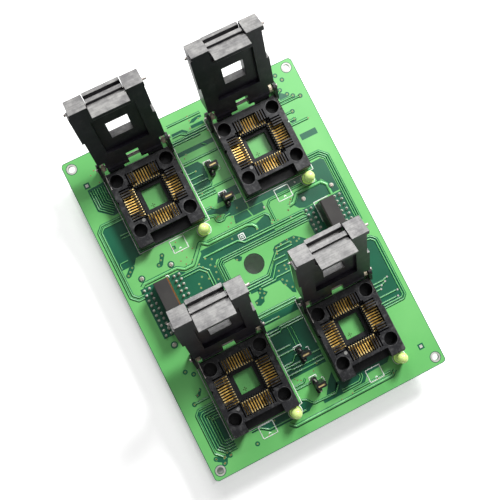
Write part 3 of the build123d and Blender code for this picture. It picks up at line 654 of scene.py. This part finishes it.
BARE_AREAS = [
    [(-54.6, -50.4), (-53.6, -49.6), (-45, -49.6), (-45, -69.6), (-52.5, -69.6), (-54.6, -67.5)],
    [(-54.3, 54.2), (-54.3, 65.3), (-45, 65.9), (-45, 49.6), (-48.5, 49.3)],
    [(-56.4, 24.4), (-50, 24.4), (-48, 27), (-45, 27), (-45, 46.4), (-55.6, 46.4), (-56.4, 45.6)],
    [(-32.6, -4), (-32.6, 12.4), (-29.5, 10.2), (-25.4, 10.2), (-20, 15.2), (-20, 16.6), (9.6, 16.6), (14.8, 18.4),
     (16, 17.4), (16, 9.6), (-14.8, 9.6), (-16.2, 8.2), (-16.2, -4)],
    [(-7.4, 6.6), (-6.9, 5.2), (-5.8, 4), (-4.6, 4), (-3.6, 5.4), (-4.6, 6.4)],
    [(-7.6, -7.1), (3, -7.1), (10.6, 0.4), (10.9, 1.9), (12.4, 3.2), (18, 3.6), (22.6, 3.6), (25.4, 1.4),
     (27.6, -0.6), (30, -1), (30, -3), (15, -6), (13.8, -10.8), (13.4, -13), (11.8, -21), (10.2, -20), (9, -16.5),
     (7.8, -14.5), (7.4, -12.4), (-7.6, -12.2)],
    [(-4.4, -12), (-2, -11.8), (-1.6, -13.2), (-0.2, -14.6), (-1.6, -15.6), (-2.8, -16), (-3.6, -18), (-6, -19),
     (-7.8, -18.2), (-7.8, -16), (-5.5, -15.5), (-4.6, -14.5)],
    [(-52.8, -12.7), (-46, -12.7), (-46, 12.7), (-52.8, 12.7)],
    [(-39, -12.7), (-32.6, -12.7), (-32.6, 12.7), (-39, 12.7)],
    [(32, -12.7), (38.6, -12.7), (38.6, 12.7), (32, 12.7)],
    [(46.4, -12.7), (53, -12.7), (53, 12.7), (46.4, 12.7)],
    [(49.8, -13.2), (54.6, -14), (56.2, -16), (56.2, -44.4), (55, -45.4), (44, -45.4), (44, -22)],
    [(44.5, 30.8), (51, 31), (52.4, 29.6), (52.4, 13.4), (49, 13.4), (49, 19), (46.8, 21.8), (44.5, 21.8)],
    [(29.4, 16.2), (31, 17.2), (33.4, 19.6), (45.8, 19.6), (47.2, 18), (47.2, 13.6), (34, 12.8), (31, 14)],
    [(9, 24.4), (10, 20.4), (16.4, 20.4), (16.6, 24.4)],
    [(1.6, 24.4), (0.6, 20.6), (9.4, 20.6), (8.4, 24.4)],
    [(-40.3, 18.9), (-39.3, 17.9), (-38.2, 18.6), (-35.6, 22.6), (-36, 23.6), (-37.2, 23.6)],
    [(-31.6, 22.6), (-29.4, 22.6), (-29.2, 24.2), (-31.2, 24.4)],
    [(-50.2, 24.3), (-52.8, 24.3), (-55.5, 21.6), (-55.2, 20.1), (-53.8, 20.1), (-50.8, 22.8)],
    [(-55.6, -71.8), (-53.6, -70.9), (-51.6, -72.4), (-49.6, -71.6), (-48.2, -73), (-48.8, -74.2), (-51, -74),
     (-52.2, -76.4), (-54, -76.4), (-54.2, -74.6), (-56, -73.4)],
    [(-50, -41.6), (-48.4, -39.6), (-47.8, -40.6), (-49.6, -43.2), (-51.2, -43.4), (-51.6, -42)],
    [(-9.4, 60.4), (9.4, 60.4), (9.4, 62.6), (-9.4, 62.6)],
    [(-9.4, 42.9), (-1.4, 42.9), (-1.4, 45), (-0.6, 47), (-0.6, 53), (-2.2, 55.2), (-9.4, 55.2)],
    [(-7.6, 70.9), (-2.6, 70.9), (-0.6, 69.6), (0.3, 70.2), (-1.9, 72.1), (-7.6, 72.1)],
    [(2.4, 70.4), (8.8, 70.4), (8.8, 72), (2.4, 72)],
    [(-9.4, 32), (-9.4, 30.4), (-8, 29.6), (-5.2, 29), (-4, 27.8), (-2, 27.4), (-1.4, 25.6), (2, 24.6), (9.4, 24.6),
     (9.4, 30.8), (-4, 30.8), (-5.8, 32)],
    [(-2.8, 33), (9.4, 33), (9.4, 37.4), (1.5, 37.4), (-0.6, 37)],
    [(-9.4, -28.3), (9.4, -28.3), (9.4, -24.8), (-9.4, -24.8)],
    [(-9.4, -55.8), (9.4, -55.8), (9.4, -31), (-9.4, -31)],
    # This dark area is partly bare board and partly painted shade
    [(2.4, -69.8), (6.2, -64.2), (9.4, -61), (9.4, -69.8)],
    [(-36, -67.4), (-11, -67.4), (-8.6, -65.8), (-4.6, -70.2), (-8, -72.4), (-28, -72.4), (-32.4, -69.4),
     (-36, -69.4)],
    [(9, -66.4), (38, -66.4), (35, -69.2), (24, -69.6), (21.4, -72.6), (0, -72.6), (0, -70.2), (6.6, -70.2)],
    [(47.2, 42.3), (55.7, 42.3), (55.7, 45.4), (47.2, 45.4)],
    [(46.4, 64.4), (50.6, 64.4), (50.2, 66), (48.2, 67.6), (46.4, 66.2)],
    [(46.4, 51.9), (49, 51.9), (49.4, 53.4), (48.6, 54.2), (46.4, 53.8)],
    [(2.4, 73.2), (4.4, 74.6), (7.6, 75), (9.2, 74.8), (9.2, 73.8), (6.6, 73.6), (4.6, 72.8)],
    [(10, 24.6), (39, 24.6), (39, 27.6), (10, 27.6)],
]

TRACK_RUNS = [
    ([(-45, -48.6), (-53.4, -48.6), (-55.4, -50.6), (-55.4, -69.8), (-51.6, -73.6)], 0.5),
    ([(-45, -50.6), (-52.6, -50.6), (-53.8, -51.8), (-53.8, -68.4), (-50.4, -71.8), (-45, -71.8)], 0.42, 5, 1.25),
    ([(-53.4, 64.4), (-53.4, 54.8), (-48.2, 50.2)], 0.4, 7, 1.12),
    ([(-45, 47.5), (-55.9, 47.5), (-58.5, 44.9), (-58.5, 11.2), (-55.5, 8.3), (-52, 8.3)], 0.5, 2, 1.5),
    ([(-50, 37.9), (-45, 37.9)], 0.4, 2, 1.4),
    ([(-51.8, 27.6), (-56, 27.6), (-56, 25)], 0.4),
    ([(-51.4, 13.3), (-50.2, 14.3), (-33.2, 14.3), (-30.2, 12.2), (-25.8, 12.2), (-18.4, 20.2), (-15.4, 17.8),
      (5, 17.8), (7.6, 16.8), (8.8, 15.2), (8.7, 13.8)], 1.3),
    ([(-33.5, 8.9), (-24.1, 8.9), (-21.4, 6.2), (-21.4, -4)], 0.42, 2, 1.3),
    ([(-13.4, -5), (-13.4, 6.2), (-12.4, 7), (33, 7)], 0.42, 3, 1.05),
    ([(-20, 13.1), (-2, 13.1), (0.4, 11), (31.6, 11), (33.6, 9.4)], 0.7),
    ([(2, 12.2), (31.4, 12.2), (33.8, 10.6)], 0.45),
    ([(20, 1.9), (12.7, 1.9)], 0.45),
    ([(20, 0.1), (11.6, 0.1), (3.8, -7.4), (3.2, -7.7), (-9, -7.7)], 0.5),
    ([(15, -2.8), (8.8, -2.8), (4.2, -8.2), (3.6, -8.9), (-9, -8.9)], 0.5),
    ([(15, -5.2), (8.8, -5.2), (5.4, -9.4), (4.8, -10.2), (-9, -10.2)], 0.5),
    ([(13.8, -10.4), (6.4, -10.4), (5.6, -11.3), (-2, -11.3)], 0.45),
    ([(44, -46.5), (55.8, -46.5), (57.6, -44.7), (57.6, -15.4), (55.2, -13), (50.5, -12.4)], 0.45, 2, 1.2),
    ([(44, 32.4), (51, 32.4), (53.2, 30.2), (53.2, -4)], 0.42, 3, 1.05),
    ([(44, -41.2), (54.4, -41.2)], 0.4),
    ([(44, -44), (53.2, -44)], 0.4),
    ([(44, -34.4), (51.2, -34.4), (53.4, -33.7)], 0.4),
    ([(44, -36), (50, -36), (51.6, -35.2)], 0.4),
    ([(44, -37.8), (48.2, -37.7)], 0.4),
    ([(44, 62.2), (56, 62.2)], 0.45),
    ([(44, 63.6), (52.6, 63.6)], 0.45),
    ([(44, 66.6), (46.2, 66.6), (48.4, 68.6)], 0.45),
    ([(44, 57), (49.2, 57)], 0.5),
    ([(44, 53.3), (49.6, 53.3)], 0.5),
    ([(44, 50.9), (54.8, 50.9)], 0.6),
    ([(-15, 19), (15, 19), (16.6, 17.2), (16.6, 14.6)], 0.5),
    ([(27, 17), (29.6, 17.4), (32.8, 20.7), (46, 20.7), (48.1, 18.4), (48.1, 13.2)], 1.4),
    ([(-9, -66.4), (-7, -67.2), (-4.4, -70.4), (6.8, -70.9), (9.6, -68)], 0.5),
    ([(-36, -68.5), (-32.4, -68.5), (-28.2, -71.4), (-19.6, -71.4), (-13, -71.4), (-9, -71.4)], 0.5),
    ([(-18.8, -73.5), (-16.6, -75.8), (34.2, -75.8), (36.6, -73.8)], 1.2),
    ([(14.6, -73.6), (34.6, -73.6)], 0.5),
    ([(10, -71.9), (19.4, -71.9), (21.6, -69.8), (21.6, -68)], 0.45, 2, 1.1),
    ([(-46, 28.6), (-10, 28.6)], 0.45, 2, 1.3),
    ([(10, 28.6), (46, 28.6)], 0.45),
    ([(18.2, 13.4), (18.2, 21.8), (20, 23.6), (38, 23.6)], 0.5),
    ([(-46, -45.5), (-54, -45.5)], 0.5),
    ([(-8, 76.1), (9.4, 76.1)], 0.5),
    ([(-8, 70.4), (-3.4, 70.4), (-1.6, 69), (10.4, 69)], 0.5),
    ([(-9.6, 67.8), (10.4, 67.8)], 0.5),
    ([(-9.6, 66.6), (5, 66.6)], 0.5),
    ([(3.4, 62.2), (5.4, 60.6)], 0.4),
    ([(-9.6, 56.5), (10.4, 56.5)], 0.5),
    ([(-9.6, 51.3), (-5.2, 51.3)], 0.45),
    ([(-9.6, 48.5), (-2.6, 48.5)], 0.45),
    ([(-9.6, 45.8), (-1.6, 45.8)], 0.45),
    ([(-9.6, 42.2), (-1.6, 42.2), (-0.8, 43.4), (-0.8, 45)], 0.45),
    ([(-9.6, 41), (10.4, 41)], 0.5),
    ([(-9.6, 39.6), (-0.6, 39.6)], 0.5),
    ([(-9.6, 38.2), (-0.6, 38.2)], 0.5),
    ([(-9.6, 32.9), (-6.4, 32.9), (-5.2, 31.7)], 0.45),
    ([(-9.6, 29), (-6.8, 28.2), (-6.7, 25.7), (-5.6, 24.8), (-3.4, 24.8), (-2.3, 25.9), (0.6, 26.3)], 0.5),
    ([(-10.4, -22.6), (10.4, -22.6)], 0.5),
    ([(-10.4, -24), (10.4, -24)], 0.5),
    ([(-9.6, -27.3), (-1.2, -27.3)], 0.45),
    ([(-9.6, -32.5), (-3.8, -32.5), (-3, -31.7), (9.4, -31.7)], 0.45),
    ([(-9.6, -33.9), (-3.4, -33.9), (-2.4, -32.9), (9.4, -32.9)], 0.45),
    ([(0.4, -33.6), (0.4, -44.4)], 0.34),
    ([(2.2, -33.6), (2.2, -42.6)], 0.34),
    ([(-9.6, -41.4), (-1.8, -41.4)], 0.45),
    ([(-9.6, -43.9), (-0.6, -43.9)], 0.45),
    ([(-9.6, -49.1), (-4.6, -49.1), (-2.2, -46.7), (-1.2, -46.7)], 0.45),
    ([(-9.6, -50.4), (-1, -50.4)], 0.45),
    ([(-9.6, -51.6), (-6.8, -51.6), (-6.2, -52.2), (9.4, -52.2)], 0.45),
    ([(-9.6, -54.1), (9.4, -54.1)], 0.5),
    ([(3.2, -49.3), (9.4, -49.3)], 0.45),
    ([(-9.6, -59.7), (-4.4, -59.7), (-2.9, -58.2)], 0.45),
    ([(-9.6, -61.2), (-1.4, -61.2)], 0.45),
]

VIAS = [
    (-51, -30.4), (-48, -33), (-53.8, -45.5), (-56, -72), (-52.4, -73.4), (-49.4, -73.4), (-53.4, -75.6),
    (-36, -74.6), (-54.7, 21), (-51.6, 23.6), (-40, 19.2), (-36.8, 22.6), (-30.6, 23.4), (-28.4, 25.4),
    (-27.4, 20.4), (-22.6, 19.4), (-30, 16.4), (-28.4, 14), (-26.8, 16.8), (-25, 14.6), (-22.2, 9.2), (-18.6, 8.6),
    (-16.8, 10.8), (-19.4, 12.4), (-5.3, 27.3), (-6.3, 26.9), (-4.1, 27), (0.7, 24.3), (-1, 22), (26, 15.4),
    (28.4, 18.6), (29.4, 19.6), (22.3, 2.7), (24.3, 1.1), (27.7, -0.7), (19, 3.2), (-49, -40.7), (-50.7, -42.4),
    (-53.2, 22.2), (-38.2, 20.9), (-21.6, 6.4), (-17.6, 4.4), (-16.9, 7), (-23.2, 11.2), (-27.2, 3), (-27.2, 1),
    (-22, 3.2), (-18.2, 1), (-24.6, 5.4), (-47.6, 66.4), (-49.8, 71), (-47.6, 72.6), (3, 74.4), (7.4, 73.6),
    (1.8, 71), (3, 76.8), (9, 66.4), (-5.6, 60.4), (-7, 58.9), (-5, 51.3), (-7, 40.4), (-6.2, 32.9), (-1, -27.2),
    (-7.4, -56.4), (-5, -58.2), (-6.4, -57.4), (4.6, 27.2), (-3, 21), (8.6, 14), (12.2, 0.4), (15.4, 2.6),
    (18.8, 3.4), (20, 1.4), (22.8, 0.6), (25.4, 12), (25.8, 15.4), (27.8, 17.6), (29, 19.6), (16.2, 13.2),
    (19.4, 13.4), (17.2, 14.4), (16.2, 21.4), (8.8, -8.2), (12.4, -9), (12.4, -7.1), (8.5, -12.6), (10.1, -14.1),
    (8.7, -15.4), (11.2, -17.8), (11.8, -0.6), (12.6, 1.9), (-2.8, -11.9), (-2, -14.5), (-3.8, -13.4), (-6.4, 5.2),
    (-3.8, -16), (-7.2, -17), (-4, 15), (-55.9, -72.2), (-51.9, -73), (-50.2, -71.7), (-48.8, -73.4), (-53, -75.4),
    (56.3, 62.2), (53.1, 63.8), (49.4, 57), (48.6, 53.3), (54.8, 50.9), (51.9, 73), (49.8, 76.2), (50.9, 65.6),
    (48.6, 68.8), (47, 70.2), (35.4, -75), (27.4, -73.8), (-29.5, -73.6), (-24.4, -68.8), (13.8, -74.4), (8, -74.6),
    (2.2, -57), (5, -54.4),
]
TINNED_VIAS = [
    (53.5, -33.7), (51.7, -35.2), (49.3, -36.2), (48.3, -37.7), (55.2, -41.3), (54.1, -44), (16.3, 21.8),
    (34.7, 26),
]
HUGGED_VIAS = VIAS[:12] + [
    (56.3, 62.2), (53.1, 63.8), (49.4, 57), (51.9, 73), (49.8, 76.2), (50.9, 65.6), (48.6, 68.8),
]


def lay_copper():
    """Bare areas, the board's dark border, the tracks with a dark gap on both sides, and the vias."""
    lay_plates("bare_board_areas", BARE_AREAS, BARE_H, "bare")
    x, y = EDGE_LINE_X, EDGE_LINE_Y
    border = [(0, -y), (x, -y), (x, y), (-x, y), (-x, -y), (0, -y)]
    lay_ribbons("board_edge_border", [border], EDGE_LINE, BARE_H, EDGE_CORNER, "bare")
    by_width = {}
    for path, width, *beside in TRACK_RUNS:
        count, pitch = beside or (1, 0)
        by_width.setdefault(width, []).extend(offset_path(path, i * pitch) for i in range(count))
    for width, paths in sorted(by_width.items()):
        label = str(int(width * 100))
        lay_ribbons(f"track_gaps_{label}", paths, width + GAP_WIDER, GAP_H, TRACK_CORNER, "bare")
        lay_ribbons(f"tracks_{label}", paths, width, TRACK_H, TRACK_CORNER, "track")
    lay_dots("via_clearances", HUGGED_VIAS, 1.15, 1.15, GAP_H, 20, "bare")
    lay_dots("via_lands", VIAS, 0.52, 0.48, VIA_LAND_H, 16, "track")
    lay_dots("via_rings", VIAS, 0.34, 0.3, VIA_RING_H, 12, "via")
    lay_dots("tinned_vias", TINNED_VIAS, 0.5, 0.42, TINNED_VIA_H, 14, "land")


def print_legend():
    """White outlines round the sockets, lamps, jumpers and plugs, with no words."""
    thin, thick = [], []
    shifts = {"front_left": (-1.4, 0.6), "front_right": (-0.3, 0.6)}
    for name, (x, y) in SOCKETS.items():
        left, right, back = x - 18.1, x + 18.1, y + 22.6
        if name == "front_right":
            thin.append([(x - 14, back), (left, back), (left, y + 0.6)])
        else:
            thin.append([(x - 13, back), (left, back), (left, y - 21.2), (right, y - 21.2), (right, back)])
        # A small box in front of the socket with a tick in it
        dx, dy = shifts.get(name, (0, 0))
        thick.append(closed(rectangle(x - 3.6 + dx, x + 3.7 + dx, y - 28.2 + dy, y - 22.2 + dy)))
        thin.append([(x - 0.5 + dx, y - 27.2 + dy), (x + 0.1 + dx, y - 26.6 + dy), (x + 0.7 + dx, y - 27.2 + dy)])
    for x, y in LAMPS:
        thin.append(arc(x, y, 3.3, -50, 230))
        thin.append([(x - 2.1, y - 2.6), (x + 2.1, y - 2.6)])
    for x, y in JUMPERS:
        thick.append([(x - 1.8, y + 2.6), (x - 1.8, y + 4.3), (x + 1.8, y + 4.3), (x + 1.8, y + 3)])
        thin.append([(x + 3.4, y + 1.8), (x + 4.5, y + 1.8), (x + 4.5, y - 1.8), (x + 3.4, y - 1.8)])
    # Corners beside the plugs and a double square near the middle of the board
    left, right = PLUGS
    thin.append([(left + 2.9, 13.2), (left + 4.1, 13.2), (left + 4.1, 12)])
    thin.append([(right - 4.1, 3), (right - 4.1, 13.2), (right + 3.4, 13.2)])
    thick.append(closed(rectangle(-0.9, 1.9, 12.5, 15.3)))
    thin.append(closed(rectangle(-0.1, 1.1, 13.3, 14.5)))
    lay_ribbons("legend_thin", thin, THIN_LINE, INK_H, LEGEND_CORNER, "ink")
    lay_ribbons("legend_thick", thick, THICK_LINE, INK_H, LEGEND_CORNER, "ink")


def solder_pins():
    """A bright solder fillet round each pin and leg, on a ring of bare board."""
    for name, places, foot, head, height in (
            ("plug", PIN_PLACES, 0.72, 0.34, 0.75),
            ("header", SOLDERED_HEADER_PLACES, 0.8, 0.36, 0.5),
            ("leg", PLUG_LEG_PLACES, 1.15, 0.62, 0.55)):
        lay_dots(f"{name}_pads", places, foot + 0.55, foot + 0.5, PAD_H, 20, "bare")
        if name == "leg":
            flux = ((0.34, 0.12), (-0.36, 0.3), (0.08, -0.4), (-0.1, 0.02))
            spots = [(x + a, y + b) for x, y in places for a, b in flux]
            lay_dots("leg_flux_spots", spots, 0.17, 0.15, 0.64, 8, "via")
        lay_dots(f"{name}_solder", places, foot, head, height, 16, "solder")


def land_holes():
    """Tinned lands round the four screw holes, a pale ring round the middle opening and two square lands."""
    screws = [(a * SCREW_X, b * SCREW_Y) for a, b in CORNERS]
    lay_rings("screw_clearances", screws, 1.62, 2.7, CLEARANCE_H, "bare")
    lay_rings("screw_lands", screws, 1.61, 2.4, SCREW_LAND_H, "land")
    lay_rings("middle_ring", [(0, 0)], 4.92, 5.1, MIDDLE_RING_H, "track")
    for name, half, height, finish, slot in (
            ("fiducial_clearances", 1.4, CLEARANCE_H, "bare", "board_mask"),
            ("fiducial_lands", 0.7, FIDUCIAL_H, "land", "tin")):
        squares = [rectangle(x - half, x + half, y - half, y + half) for x, y in FIDUCIALS]
        lay_plates(name, squares, height, finish)


def paint_rim_highlights_and_marks():
    """Painted highlights on the rims round the guide holes, uneven in patches, the pale tip of the index post and
    the marks under the windows.
    """
    for name, (x, y) in SOCKETS.items():
        holes = [(x + a * GUIDE_HOLE_OFFSET, y + b * GUIDE_HOLE_OFFSET) for a, b in CORNERS]
        # A grey ring on each guide hole's rim: a painted highlight
        lay_rings(f"guide_hole_rim_highlights_{name}", holes, 3.16, 3.5, 0.025, "rim", level=SOCKET_TOP)
        post = (x + INDEX_POST[0], y + INDEX_POST[1])
        lay_rings(f"index_post_tip_{name}", [post], 0.08, 0.85, 0.05, "post", 7, SOCKET_TOP)
        cross = ((0, 0), (0.75, 0), (-0.75, 0), (0, 0.75), (0, -0.75))
        marks = [(x + WINDOW_MARK[0] + a, y + WINDOW_MARK[1] + b) for a, b in cross]
        lay_dots(f"window_marks_{name}", marks, 0.26, 0.24, MARK_H, 10, "mark")


def wind_springs():
    """The hinge springs as round wire: coils round each hinge pin and a leg down to the base."""
    for name, (x, y) in SOCKETS.items():
        axis_y = y + HINGE_Y
        coil = plain_mesh(f"spring_coils_{name}", [(x + 14.15, axis_y, HINGE_Z), (x - 15.85, axis_y, HINGE_Z)])
        pieces = [grown(coil, COIL, Radius=COIL_R * MM, Length=COIL_LENGTH * MM, Turns=COIL_TURNS,
                        Wire_radius=WIRE_R * MM, Material=FINISH["wire"])]
        # The left leg is painted lit and the right one painted in shade
        for side, end, finish in ((-1, "left", "wire with painted highlight"), (1, "right", "wire with painted shade")):
            leg_x = x + side * SPRING_LEG_X
            points = [(x + side * 15.45, axis_y - 0.4, HINGE_Z - COIL_R),
                      (leg_x, y + SPRING_LEG_BACK, SPRING_LEG_Z), (leg_x, y + SPRING_LEG_FRONT, SPRING_LEG_Z)]
            pieces.append(round_wire(f"spring_leg_{end}_{name}", points, WIRE_R, finish))
        for piece in pieces:
            finished(piece, "board")
            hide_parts(f"hinge_springs_{name}")


def lay_floor():
    """Pale floor with a glow that only the camera sees: full beyond the board, weak under it. The glow reads white
    and paints light over the board's shadow beside it; the shade under the board stays.
    """
    low = CAD_BOX[0][2] - FLOOR_DROP
    mesh = bpy.data.meshes.new("floor")
    corners = rectangle(-FLOOR_HALF, FLOOR_HALF, -FLOOR_HALF, FLOOR_HALF)
    mesh.from_pydata([(x, y, low) for x, y in corners], [], [(0, 1, 2, 3)])
    floor = linked("floor", mesh)
    f = Finish("pale floor", Base_Color=(0.88, 0.88, 0.88, 1), Roughness=0.9, Specular_IOR_Level=0.1,
               Emission_Color=WHITE)
    point = split(f.tree, object_point(f.tree))
    # Painted light: the camera-only glow rises from 1 mm inside the board's outline to full 4 mm beyond it,
    # lightening the shadow beside the board
    beyond = [ramp(f.tree, maths(f.tree, "ABSOLUTE", point[axis]), (half - 1) * MM, (half + 4) * MM, 0.06)
              for axis, half in (("X", BOARD_HALF_X), ("Y", BOARD_HALF_Y))]
    camera = add_node(f.tree, "ShaderNodeLightPath").outputs["Is Camera Ray"]
    seen = maths(f.tree, "MULTIPLY", maths(f.tree, "MAXIMUM", *beyond), camera)
    f.tree.links.new(maths(f.tree, "MULTIPLY", seen, FLOOR_GLOW), f.shader.inputs["Emission Strength"])
    mesh.materials.append(f.material)


def set_lights():
    """A lamp from the back right, a low one behind, a small one overhead and weak light from all round."""
    world = bpy.data.worlds.new("studio")
    bpy.context.scene.world = world
    world.use_nodes = True
    back = world.node_tree.nodes["Background"]
    back.inputs["Color"].default_value = WHITE
    back.inputs["Strength"].default_value = WORLD_STRENGTH
    for name, place, size, watts in LIGHTS:
        light = bpy.data.lights.new(name, "AREA")
        light.shape = "SQUARE"
        light.size = size
        light.energy = watts
        lamp = linked(name, light)
        lamp.location = place
        lamp.rotation_euler = (-Vector(place)).to_track_quat("-Z", "Y").to_euler()


def set_camera():
    """The photograph's camera: almost straight above, turned about 27 degrees."""
    right, up = Vector(CAMERA_RIGHT), Vector(CAMERA_UP)
    data = bpy.data.cameras.new("photo camera")
    data.sensor_width = CAMERA_SENSOR
    data.lens = CAMERA_LENS
    data.clip_start = 0.01
    camera = linked("photo camera", data)
    turn = Matrix((right, up, right.cross(up))).transposed().to_4x4()
    camera.matrix_world = Matrix.Translation(CAMERA_PLACE) @ turn
    bpy.context.scene.camera = camera


dress_cad_nodes()
lay_copper()
print_legend()
solder_pins()
land_holes()
paint_rim_highlights_and_marks()
wind_springs()
lay_floor()
set_lights()
set_camera()
bpy.context.scene.view_settings.view_transform = "Standard"
